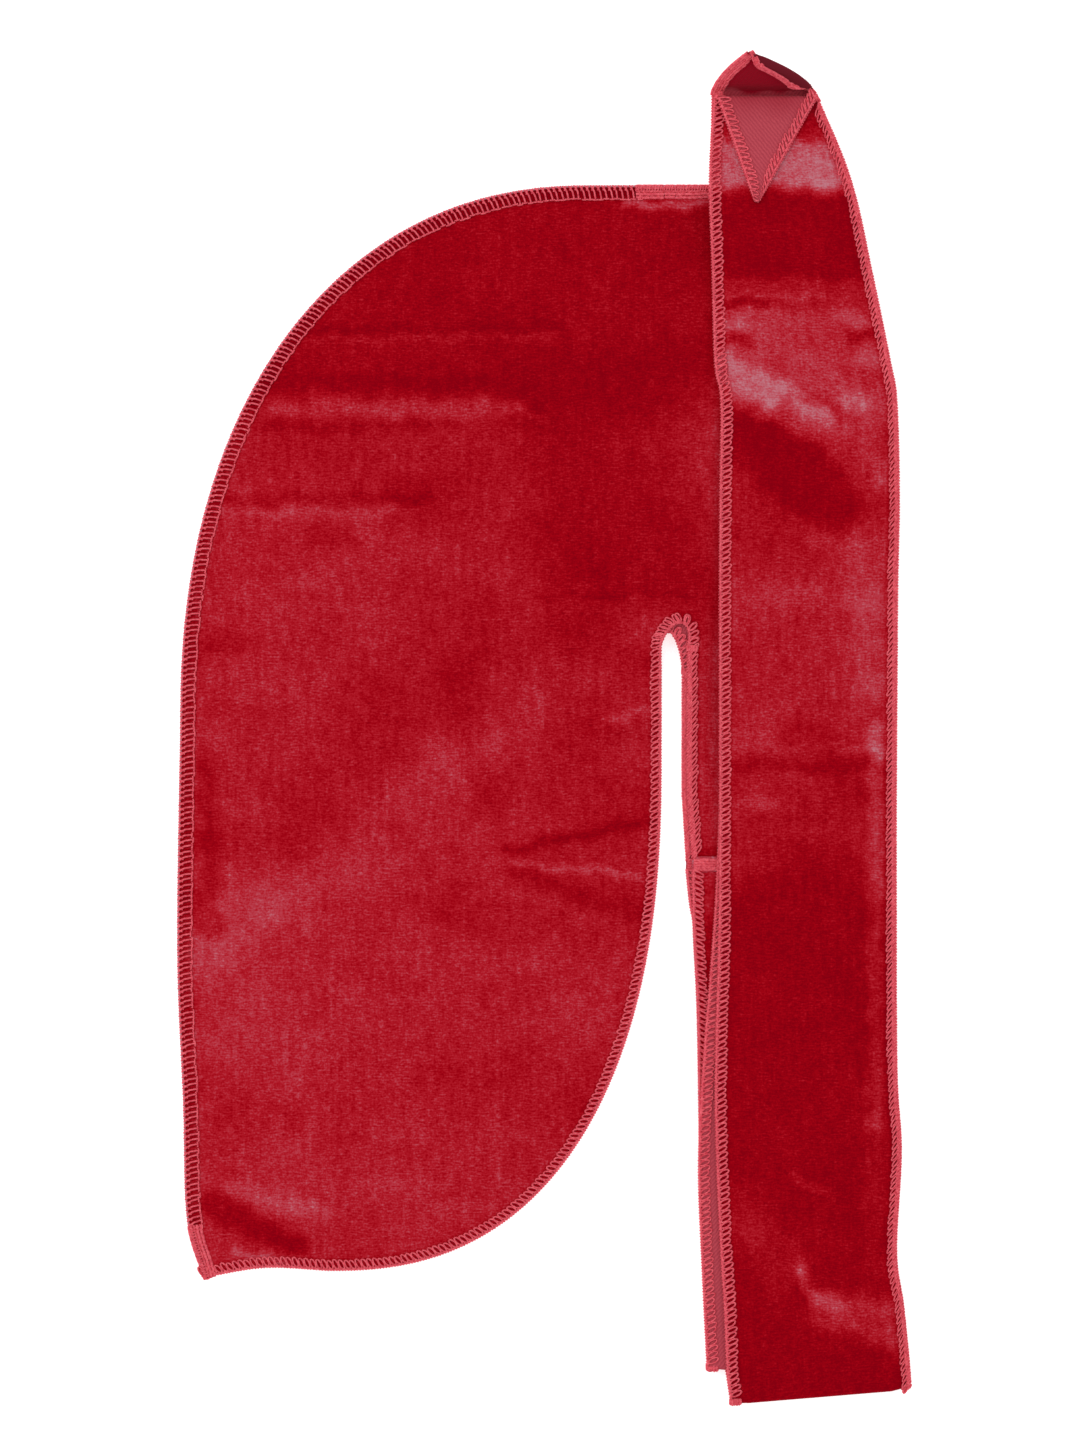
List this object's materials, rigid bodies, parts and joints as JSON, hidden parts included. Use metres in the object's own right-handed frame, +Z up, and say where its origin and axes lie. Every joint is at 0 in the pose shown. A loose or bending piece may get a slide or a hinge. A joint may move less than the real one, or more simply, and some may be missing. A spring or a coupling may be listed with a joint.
{
  "type": "durag",
  "caption": "Velvet durag folded in half and laid flat, with a tail flap, overlocked crown seam and two long ties folded up over the front.",
  "frame": {"origin": "centre of the durag's bounding box in plan, at the height of the surface it lies on", "axes": "+Z up from the surface, +Y from the tail to the crown along the ties, +X towards the front hem"},
  "size_m": [0.3184, 0.5872, 0.0257],
  "materials": {
    "velvet": "stretch velvet pile, knitted reverse",
    "thread": "overlock stitches in polyester thread"
  },
  "bodies": {
    "root": {"right_panel": "velvet", "left_panel": "velvet", "right_strap": "velvet", "left_strap": "velvet", "crown_seam": "thread", "right_tie_seam": "thread", "left_tie_seam": "thread"}
  },
  "joints": []
}
